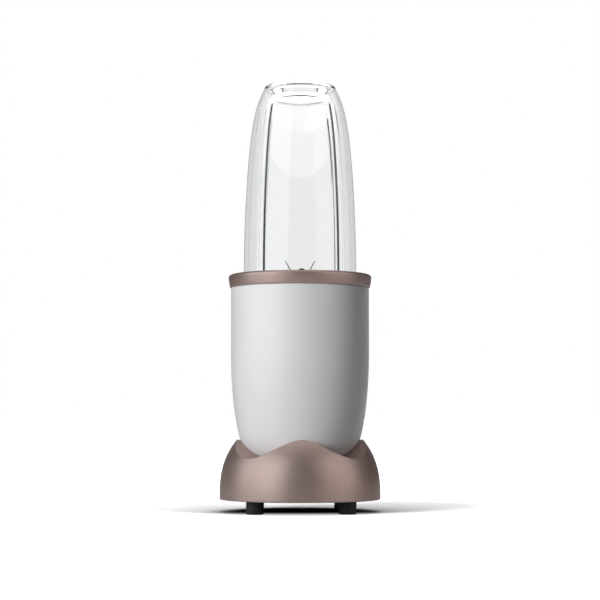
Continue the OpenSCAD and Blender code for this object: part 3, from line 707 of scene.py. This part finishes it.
def housing_radius(z):
    depth = max(0.0, (150 - z) / 100)
    return 63.1 - 11.3 * depth ** 2.3 - 8.5 * depth ** 14


def inset(radius_at, z, thickness):
    slope = (radius_at(z + 0.05) - radius_at(z - 0.05)) / 0.1
    length = math.sqrt(1 + slope * slope)
    return radius_at(z) - thickness / length, z + thickness * slope / length


side = [150 + (47.5 - 150) * math.sin(math.pi / 2 * i / 44) for i in range(45)]
section = [(60.5, 207.9), (61.8, 207.9), (61.8, 203.5), (62.7, 203.5)] + arc((62.5, 202.9), 0.6, 80, 0, 4)
section += [(63.1, z) for z in (195, 180, 165)]
section += [(housing_radius(z), z) for z in side]
section += [(39.1, 40), (39.1, 18.1), (36.5, 18.1), (36.5, 50.6)]
inner = [inset(housing_radius, z, WALL) for z in reversed(side)]
section += [p for p in inner if p[0] > 36.9] + [(60.5, 165), (60.5, 190)]
housing = turned("motor_housing_shell", section, 160)
print(housing.name, len(housing.data.vertices), "points")

# %% Bosses under the housing
boss = rod("boss", 5.75, 41.35, 47.35, (SCREW_REACH, 0), 40)
edit(boss, "FACE")
pick(boss, lambda m, f: f.normal.z < -0.9, "faces")
bpy.ops.mesh.inset(thickness=3.7 * MM)
bpy.ops.mesh.extrude_region_move(TRANSFORM_OT_translate={"value": (0, 0, 5.25 * MM)})
bpy.ops.object.mode_set(mode="OBJECT")
soften(boss, 0.3)
join(housing, *set_round(boss, CORNERS))
hand_over(housing, "base", "white_shell", "motor_housing")

# %% [markdown]
# ## The trim ring
# The ring sits over the shell's top edge. It leans out a little as it rises, and its top corner is a soft
# round. A narrow shadow line separates it from the shell below.

# %% Trim ring
section = [(62.1, 204.1), (62.5, 203.7), (63.4, 203.65)] + arc((63.5, 204.15), 0.5, -90, -12, 3)
section += [(64.35, 206), (64.75, 208), (65.05, 210), (65.2, 211.5)]
section += arc((62.6, 212.7), 2.8, -6, 90, 12) + arc((61.6, 214.6), 0.9, 90, 180, 4)
section += [(60.7, 212.6), (63.5, 212.6), (63.5, 208.3), (62.1, 208.3)]
ring = turned("trim_ring_shell", section, 192)
hand_over(ring, "base", "rose_metal", "top_ring")

# %% [markdown]
# ## The skirt
# The skirt is a flared wall whose upper edge rises in four crests. A ring of points is extruded upwards in
# rows. Each row is then moved so that the rows share out the height under the edge at that angle, and each
# point takes the wall's radius at its own height. Solidify gives the wall its thickness, thinner at the
# edge.

# %% Skirt wall
SKIRT_LOW, CREST, VALLEY = 11.5, 66.2, 50.0
EDGE_ROUND = 0.35
EDGE_THINNING = 0.62


def skirt_radius(z):
    return 73.3 - 16.4 * max(0.0, (z - SKIRT_LOW) / (CREST - SKIRT_LOW)) ** 2.8


def edge_height(angle):
    return (CREST + VALLEY) / 2 + (CREST - VALLEY) / 2 * math.cos(4 * angle)


def edge_share(z):
    """How far the height is on its way from the valleys to the crests."""
    return max(0.0, (z - VALLEY) / (CREST - VALLEY))


ROWS = 26
let_go()
bpy.ops.mesh.primitive_circle_add(vertices=288, radius=skirt_radius(SKIRT_LOW) * MM,
                                  location=(0, 0, SKIRT_LOW * MM))
skirt = bpy.context.object
skirt.name = "wavy_skirt"
bpy.ops.object.transform_apply(location=True)
bpy.ops.object.mode_set(mode="EDIT")
bpy.ops.mesh.select_mode(type="VERT")
bpy.ops.mesh.select_all(action="SELECT")
for row in range(ROWS):
    bpy.ops.mesh.extrude_region_move(TRANSFORM_OT_translate={"value": (0, 0, MM)})
bpy.ops.object.mode_set(mode="OBJECT")
for point in skirt.data.vertices:
    row = round(point.co.z / MM - SKIRT_LOW)
    angle = math.atan2(point.co.y, point.co.x)
    share = row / ROWS
    height = SKIRT_LOW + (edge_height(angle) - EDGE_ROUND - SKIRT_LOW) * share
    reach = skirt_radius(height) - 0.02
    point.co = Vector((reach * math.cos(angle), reach * math.sin(angle), height)) * MM
thin = skirt.vertex_groups.new(name="wall")
for point in skirt.data.vertices:
    thin.add([point.index], 1.0 - EDGE_THINNING * edge_share(point.co.z / MM) ** 2, "REPLACE")
edit(skirt)
face_outwards()
apply_modifier(skirt, "SOLIDIFY", thickness=WALL * MM, offset=-1.0, use_rim=True, use_even_offset=True,
               vertex_group="wall")
soften(skirt, 0.45, 3, 50)
print(skirt.name, len(skirt.data.polygons), "faces")

# %% Notch for the cord
let_go()
bpy.ops.mesh.primitive_cylinder_add(vertices=64, radius=5.3 * MM, depth=20 * MM, location=(0, 0.075, 0.024),
                                    rotation=(math.radians(90), 0, 0))
cut(skirt, settle(bpy.context.object, "notch"))
cut(skirt, box("slot_box", (0, 75, 12), (10.6, 20, 24)))
print(skirt.name, len(skirt.data.polygons), "faces")

# %% [markdown]
# A lid closes the skirt against the housing. It is drawn as a flat ring, five strips across and two points
# deep. Then each point moves to its place between the housing and the wall, at the height of the wavy edge.
# The lid lies just under the edge, which leaves a narrow lip, and a fine gap remains round the housing. A
# flat deck lies deeper down.

# %% Lid and deck of the skirt
LID_DROP, LID_DEEP, LID_GAP = 0.45, 1.9, 0.35
strips = [(50, 1), (52, 1), (54, 1), (56, 1), (58, 1), (60, 1), (60, 0), (50, 0)]
lid = turned("lid", strips, 288)
for point in lid.data.vertices:
    angle = math.atan2(point.co.y, point.co.x)
    across = (math.hypot(point.co.x, point.co.y) / MM - 50) / 10
    height = edge_height(angle) - EDGE_ROUND - LID_DROP - LID_DEEP * (1 - point.co.z / MM)
    slope = (housing_radius(height + 0.05) - housing_radius(height - 0.05)) / 0.1
    near = housing_radius(height) + LID_GAP * math.sqrt(1 + slope * slope)
    far = skirt_radius(height) - WALL * (1.0 - EDGE_THINNING * edge_share(height) ** 2) / 2
    reach = near + (far - near) * across
    point.co = Vector((reach * math.cos(angle), reach * math.sin(angle), height)) * MM
deck = turned("deck", [(39.5, 38), (68.4, 38), (68.4, 41), (39.9, 41), (39.5, 40.6)], 144)
join(skirt, lid, deck)
hand_over(skirt, "base", "rose_metal", "base_skirt", smooth=40)

# %% [markdown]
# ## Feet
# Each foot is a short rubber cylinder with a rounded lower edge, a hollow underneath that grips the
# worktop, and a shallow groove near the top where the mould parts. One is turned and the others are copies
# of it.

# %% Rubber feet
section = [(0.02, 1.3), (3.9, 1.3), (4.5, 0.35), (4.9, 0.02), (6.9, 0.02)]
section += arc((6.95, 1.05), 1.02, -75, 0, 5)
section += [(7.97, 6.0), (7.8, 6.25), (7.8, 6.55), (7.97, 6.8), (7.97, 10.9), (7.5, 11.38), (4, 11.38),
            (4, 14.65), (4.9, 15.1), (4.15, 17.4), (0.02, 17.4)]
foot = turned("foot", section, 48)
foot.data.transform(Matrix.Translation((FOOT_REACH * MM, 0, 0)))
rubber_feet = join(*set_round(foot, CORNERS))
rubber_feet.name = "rubber_feet"
hand_over(rubber_feet, "base", "soft_rubber", "feet")

# %% [markdown]
# ## The clear cup
# The cup is one clear moulding of even thickness. Its wall closes in towards the end that is up, turns over
# in a rounded lip, and runs down again into a shallow hollow. Four narrow ribs run down the inside: the
# wall is pressed in along them, so there is a groove outside and a ridge inside. The section is spun finely
# for the sake of these ribs.

# %% Cup section
TOP = 390.0


def cup_radius(z):
    rise = max(0.0, (z - 215.5) / (TOP - 215.5))
    return 51.5 - 11 * rise ** 2 - 9.3 * rise ** 9.5


def cup_inner(z):
    return inset(cup_radius, z, 2.4)


climb = [208 + (387.6 - 208) * math.sin(math.pi / 2 * i / 56) for i in range(57)]
section = [(45.4, 190.0), (46.9, 190.0), (47.3, 190.4),
           (47.3, 191.6), (48.25, 192.2), (48.25, 193.0), (47.3, 193.6),
           (47.3, 195.4), (48.25, 196.0), (48.25, 196.8), (47.3, 197.4),
           (47.3, 199.0), (50.9, 199.1), (51.3, 199.4), (51.48, 200.2)]
section += [(cup_radius(z), z) for z in climb]
section += arc((29.9, 387.0), 3.0, 34, 90, 8) + arc((29.9, 387.6), 2.4, 96, 172, 7)
section += [(27.25, 386.4), (26.8, 383.6), (26.35, 380.8)] + arc((23.9, 380.45), 2.45, -4, -84, 7)
section += [(12, 378.0), (0.05, 378.0), (0.05, 375.6), (12, 375.6), (24.4, 375.6)]
section += arc((25.2, 378.85), 3.25, -86, -8, 8) + [(28.6, 381.2), (28.85, 384.3)]
section += arc((30.25, 384.85), 1.42, 176, 26, 9)
section += [cup_inner(z) for z in reversed(climb) if z < 385.6]
section += [(49.1, 205), (48.9, 203.2), (48.2, 202.0), (46.2, 200.6), (45.2, 199.6), (44.9, 198.6),
            (44.9, 190.5)]
cup = turned("clear_cup_shell", section, 360)
print(cup.name, len(cup.data.polygons), "faces")

# %% Ribs pressed into the wall
def rib_share(angle):
    away = min(abs((math.degrees(angle) - a + 180) % 360 - 180) for a in CORNERS)
    return max(0.0, 1 - (away / 5.5) ** 2) ** 2


def ends_share(z):
    low = min(1.0, max(0.0, (z - 204) / 8))
    high = min(1.0, max(0.0, (374 - z) / 14))
    return low * low * (3 - 2 * low) * high * high * (3 - 2 * high)


for point in cup.data.vertices:
    x, y, z = point.co / MM
    reach = math.hypot(x, y)
    if z < 204 or reach < 30:
        continue
    share = rib_share(math.atan2(y, x)) * ends_share(z)
    outside = reach > cup_radius(z) - 1.2
    press_in(point, share * (1.1 if outside else 2.1))
print("ribs at", CORNERS)

# %% Lugs of the cup
def cup_lug(name):
    let_go()
    bpy.ops.mesh.primitive_cube_add(size=1, location=(0.0545, 0, 0.205))
    lug = bpy.context.object
    lug.name = name
    edit(lug, "EDGE")
    bpy.ops.mesh.select_all(action="SELECT")
    bpy.ops.mesh.subdivide(number_cuts=14)
    bpy.ops.object.mode_set(mode="OBJECT")
    for point in lug.data.vertices:
        angle = math.radians(26 * point.co.y)
        reach = 54.2 + 7.6 * point.co.x
        tangent = 56.4 * math.sin(angle)
        low = 201.5 - tangent * 3 / (2 * 56.4 * math.sin(math.radians(9))) + 0.15
        height = low + (208.9 - low) * (point.co.z + 0.5)
        point.co = Vector((reach * math.cos(angle), reach * math.sin(angle), height)) * MM
    lug.matrix_world = Matrix.Identity(4)
    soften(lug, 0.5, 3, 50)
    return lug


for lug in set_round(cup_lug("lug"), LUG_ANGLES):
    add_on(cup, lug)
hand_over(cup, "cup", "clear_cup", "cup", smooth=40)

# %% [markdown]
# ## Blades
# The blades are stamped from sheet steel and bent. Each wing starts as a thin box. Its end face is spun
# through the bend, then extruded and narrowed to the tip. A wide bevel along one long edge is the ground
# cutting edge.

# %% Blade wings
HUB_Z = 205.3
SHEET = 1.6


def blade_wing(name, root, reach, width, tilt, base_z):
    wing = box(name, ((5 + root - 3) / 2, 0, base_z + SHEET / 2), (root - 3 - 5, width, SHEET))
    edit(wing, "FACE")
    pick(wing, lambda m, f: f.normal.x > 0.9, "faces")
    bend = 5.2
    bpy.ops.mesh.spin(steps=8, angle=-math.radians(tilt), axis=(0, 1, 0),
                      center=((root - 3) * MM, 0, (base_z + SHEET + bend) * MM))
    along = Vector((math.cos(math.radians(tilt)), 0, math.sin(math.radians(tilt))))
    rest = reach - 3
    for share, narrow in ((0.5, 0.88), (0.32, 0.74), (0.18, 0.45)):
        bpy.ops.mesh.extrude_region_move(TRANSFORM_OT_translate={"value": along * rest * share * MM})
        bpy.ops.transform.resize(value=(1, narrow, 1))
        bpy.ops.transform.translate(value=(0, width * 0.03 * MM, 0))
    face_outwards()
    return wing


def grind(wing, root):
    """Bevels the upper long edges of the bent part into a cutting edge."""
    edit(wing, "EDGE")
    net = bmesh.from_edit_mesh(wing.data)
    found = 0
    for one in net.edges:
        faces = one.link_faces
        if len(faces) != 2 or min(v.co.x for v in one.verts) < (root - 1) * MM:
            continue
        flat = [f for f in faces if abs(f.normal.y) > 0.5]
        upper = [f for f in faces if abs(f.normal.y) < 0.4 and f.normal.z > 0.1]
        if flat and upper and flat[0].normal.y < 0:
            one.select_set(True)
            found += 1
    bmesh.update_edit_mesh(wing.data)
    if found:
        bpy.ops.mesh.bevel(offset=1.3 * MM, segments=1, affect="EDGES", offset_type="WIDTH")
    bpy.ops.object.mode_set(mode="OBJECT")
    return found


def blade(name, wings, base_z, node):
    hub = turned(name, [(3.05, base_z), (10.9, base_z), (10.9, base_z + SHEET), (3.05, base_z + SHEET)], 64)
    made = []
    for number, (angle, root, reach, width, tilt) in enumerate(wings):
        wing = blade_wing(f"{name}_wing_{number}", root, reach, width, tilt, base_z + 0.001 * (number + 1))
        grind(wing, root)
        wing.data.transform(Matrix.Rotation(math.radians(angle), 4, "Z"))
        made.append(wing)
    join(hub, *made)
    soften(hub, 0.12, 2, 50)
    return hand_over(hub, "blade_rotor", "blade_steel", node, smooth=30)


blade("lower_blade", [(35, 15, 17, 11, 4), (215, 15, 17, 11, 4)], HUB_Z, "blade_lower")
blade("upper_blade", [(0, 12.5, 23, 12, 62), (180, 12.5, 23, 12, 62),
                      (90, 13.5, 20, 12, 38), (270, 13.5, 20, 12, 38)],
      HUB_Z + SHEET + 0.02, "blade_upper")

# %% [markdown]
# ## Drive well
# The well is a black bowl under the ring. Its thick wall has three slots for the cup's lugs, and each slot
# runs on round the wall under a ledge. The floor carries four posts for the motor and a collar round the
# shaft.

# %% Drive well
section = [(52.62, 183.35), (52.62, 213.5)] + arc((53.85, 213.55), 1.2, 176, 92, 5)
section += [(60.3, 214.77), (60.57, 214.5), (60.57, 212.42), (63.3, 212.38), (63.47, 212.2), (63.47, 208.35),
            (63.3, 208.17), (60.27, 208.17), (60.27, 192.3), (60.0, 192.02), (54.17, 192.02), (54.17, 181.6),
            (53.8, 180.95), (48.9, 177.1), (48.0, 176.75), (36.7, 175.42), (36.1, 174.9), (34.4, 168.8),
            (33.7, 168.02), (12.3, 168.02), (11.98, 167.7), (11.98, 166.3), (11.7, 166.02), (6.8, 166.02),
            (6.52, 166.3), (6.52, 173.7), (6.8, 173.98), (8.6, 173.98), (9.0, 173.7), (9.5, 171.4)]
section += arc((10.35, 171.4), 0.88, 190, 262, 4) + [(12, 170.52), (31.1, 170.52)]
section += arc((31.1, 172.1), 1.58, -84, -18, 5) + [(33.7, 176.7)]
section += arc((35.2, 176.4), 1.5, 164, 100, 4) + [(47.6, 179.3), (48.6, 179.7), (52.2, 182.8)]
well = turned("drive_well_bowl", section, 240)
posts = [(x, y) for x in (-30, 30) for y in (-18, 18)]
add_on(well, *[rod("motor_post", 4.2, 152, 169, post) for post in posts])
cutters = [rod("post_hole", 1.95, 150, 164, post, 24) for post in posts]
cutters += [ring_block("lug_slot", 50.6, 58.6, 196, 220, a - 14.5, a + 14.5) for a in LUG_ANGLES]
cut(well, *cutters)
cut(well, *[ring_block("lock_slot", 50.6, 58.58, 196.01, 209.6, a - 32.5, a + 0.5) for a in LUG_ANGLES])
cut(well, *[rod("plunger_hole", 1.98, 190, 200, at_angle(a, PLUNGER_REACH), 32) for a in PLUNGER_ANGLES])
soften(well, 0.3, 2, 55)
hand_over(well, "base", "black_plastic", "drive_well")

# %% [markdown]
# ## Blade holder
# The holder closes the cup's mouth. Its rim has 36 shallow grips, pressed in by angle like the cup's ribs,
# and its floor rises in a dish to the boss that carries the blade shaft.

# %% Blade holder
section = arc((50.3, 184.9), 0.88, -80, -6, 4)
section += [(51.18, z) for z in (185.6, 186.4, 187.4, 189, 191, 193, 194.8, 196, 197, 197.9)]
section += arc((50.6, 198.2), 0.58, 10, 84, 4)
section += [(49.2, 198.78), (49.02, 198.6), (49.02, 195.05), (47.85, 194.82),
            (47.85, 194.2), (49.02, 193.97), (49.02, 188.3), (48.7, 188.02)]
section += [(38.3, 188.02), (36.5, 188.2), (25.6, 190.12), (24.4, 190.5), (16.5, 195.15), (15.6, 195.95),
            (12.7, 200.3), (12.2, 201.3), (11.2, 202.6), (10.6, 202.97), (7.8, 202.97), (7.52, 202.7),
            (7.52, 200.42), (6.02, 200.38), (6.02, 189.9), (6.3, 189.62), (13.7, 189.62), (14.5, 189.9),
            (16.0, 191.1), (16.9, 191.2), (24.0, 187.75), (25.2, 187.3), (37.4, 185.32), (38.4, 185.22),
            (46.5, 185.22), (47.2, 185.0), (48.3, 184.2), (48.9, 184.02), (50.2, 184.02)]
holder = turned("blade_holder_cap", section, 720)
for point in holder.data.vertices:
    x, y, z = point.co / MM
    radius = math.hypot(x, y)
    if radius > 50.9 and 184.4 < z < 198.3:
        away = abs((math.degrees(math.atan2(y, x)) + 5) % 10 - 5)
        depth = 0.5 * max(0.0, 1 - (away / 1.5) ** 2) * min(1.0, (z - 184.4) / 1.0, (198.3 - z) / 1.3)
        press_in(point, depth)
hand_over(holder, "blade_carrier", "black_plastic", "blade_holder")

# %% [markdown]
# ## Floor of the base
# The floor is one black disc. Two rings of slots let the fan draw and blow air, four posts take the long
# screws, and the edge is cut away for the cord.

# %% Floor of the base
section = [(0.02, 11.52), (69.9, 11.52), (70.38, 12.0), (70.38, 14.1), (70.0, 14.48), (0.02, 14.48)]
cover = turned("base_floor", section, 180)
dam = [(24.5, 14), (27, 14), (27, 17.3), (26.8, 17.48), (24.7, 17.48), (24.5, 17.3)]
neck = [(46.55, 14), (49.1, 14), (49.1, 17.7), (48.9, 17.88), (46.75, 17.88), (46.55, 17.7)]
screw_places = [at_angle(a, SCREW_REACH) for a in CORNERS]
extras = [turned("air_dam", dam, 96), turned("neck_wall", neck, 144)]
extras += [rod("screw_post", 4.4, 14, 37.88, place) for place in screw_places]
for extra in extras:
    add_on(cover, extra)
cut(cover, *set_round(round_slot("inner_slot", 10.5, 22.5, 2.4, 10, 30), range(0, 360, 20)),
    *set_round(round_slot("outer_slot", 28.5, 35.5, 2.4, 10, 30), range(0, 360, 10)))
cut(cover, *[rod("screw_hole", 2.05, 13, 60, place, 32) for place in screw_places])
cut(cover, *[rod("screw_well", 4.1, 9, 13.7, place, 40) for place in screw_places],
    *[rod("foot_hole", 4.05, 9, 20, at_angle(a, FOOT_REACH), 40) for a in CORNERS],
    box("cord_gap", (0, 70, 20), (10.6, 20, 40)))
soften(cover, 0.25, 1, 60)
hand_over(cover, "base", "black_plastic", "bottom_cover")

# %% [markdown]
# ## Cord gland and long screws
# The gland is a rubber bush with a flange and shallow rings, turned about Z and then laid along Y. Each
# screw has a button head with a hexagon socket.

# %% Cord gland
section = [(3.62, 60.3), (3.9, 60.02), (4.9, 60.02), (5.18, 60.3)]
for ring in (61.2, 62.6, 64.0, 65.4):
    section += [(5.18, ring), (4.8, ring + 0.15), (4.8, ring + 0.6), (5.18, ring + 0.75)]
section += [(5.18, 66.82), (7.1, 66.82), (7.38, 67.1), (7.38, 69.1), (7.1, 69.38), (5.4, 69.4), (5.18, 69.6),
            (5.18, 70.3), (4.8, 70.45), (4.8, 70.9), (5.18, 71.05), (5.18, 72.3)]
section += arc((4.5, 72.3), 0.68, 12, 84, 4) + [(4.1, 72.98), (3.62, 72.5)]
gland = turned("cord_bush", section, 72)
gland.rotation_euler = (math.radians(-90), 0, 0)
gland.location = (0, 0, 24 * MM)
hand_over(gland, "base", "soft_rubber", "cord_gland")

# %% Long screws
section = [(0.02, 11.72), (2.7, 11.72)] + arc((2.7, 12.8), 1.08, -84, -4, 6)
section += [(3.78, 13.4), (3.5, 13.68), (2.05, 13.7), (1.98, 13.9), (1.98, 45.8), (1.5, 46.28), (0.02, 46.28)]
screw = turned("long_screw", section, 48)
cut(screw, rod("socket", 1.6, 9.8, 12.8, steps=6))
soften(screw, 0.08, 1, 60)
screw.data.transform(Matrix.Translation((SCREW_REACH * MM, 0, 0)))
long_screws = join(*set_round(screw, CORNERS))
long_screws.name = "long_screws"
hand_over(long_screws, "base", "steel", "cover_screws")

# %% [markdown]
# ## Plunger springs
# Each spring is round wire wound five times, with its end coils closed. It is made at one fixed length,
# though the real spring shortens towards its seat on the bracket as its plunger goes down.

# %% Plunger springs
def wire(name, points, radius, resolution=4):
    """Round wire through points in millimetres, as a mesh."""
    let_go()
    data = bpy.data.curves.new(name, "CURVE")
    data.dimensions = "3D"
    data.bevel_depth = radius * MM
    data.bevel_resolution = resolution
    data.use_fill_caps = True
    line = data.splines.new("POLY")
    line.points.add(len(points) - 1)
    for spot, point in zip(line.points, points):
        spot.co = (point[0] * MM, point[1] * MM, point[2] * MM, 1)
    piece = bpy.data.objects.new(name, data)
    bpy.context.scene.collection.objects.link(piece)
    take(piece)
    bpy.ops.object.convert(target="MESH")
    return bpy.context.object


def spring_points(radius, low, high, turns, closed_turns=0.8, per_turn=30):
    """Centre line of a spring about Z: flat end coils and an even pitch between them."""
    steps = int(turns * per_turn)
    free = turns - 2 * closed_turns
    flat = 0.82
    points = []
    for i in range(steps + 1):
        turn = turns * i / steps
        share = min(1.0, max(0.0, (turn - closed_turns) / free))
        eased = 0.12 * share * share * (3 - 2 * share) + 0.88 * share
        rise = flat * min(turn, closed_turns) + flat * max(0.0, turn - turns + closed_turns)
        z = low + rise + eased * (high - low - 2 * flat * closed_turns)
        angle = 2 * math.pi * turn
        points.append((radius * math.cos(angle), radius * math.sin(angle), z))
    return points


for number, place in enumerate(PLUNGER_ANGLES, 1):
    spring = wire(f"plunger_coil_{number}", spring_points(2.8, 160.02, 169.48, 5), 0.4)
    spring.data.transform(Matrix.Rotation(math.radians(place), 4, "Z")
                          @ Matrix.Translation((PLUNGER_REACH * MM, 0, 0)))
    hand_over(spring, "base", "steel", f"plunger_spring_{number}", smooth=60)
    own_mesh(spring)

# %% [markdown]
# ## Finishes of the inner parts
# The remaining engineering parts have the right shape already. Each takes the finish of its material slot.

# %% Finish every engineering part
slot_of = {part["node"]: part["material_slot"] for part in frame["record"]["subparts"]}
kept = [node for node in frame["nodes"] if node not in remade]
for node in kept:
    for place in frame["nodes"][node].material_slots:
        place.material = finishes[slot_of[node]]
print("finished", len(kept), "engineering parts, and remade", len(remade))

# %% [markdown]
# ## Clearing the selection
# The finished model must fill the same box as the engineering model.

# %% Clear the selection
let_go()
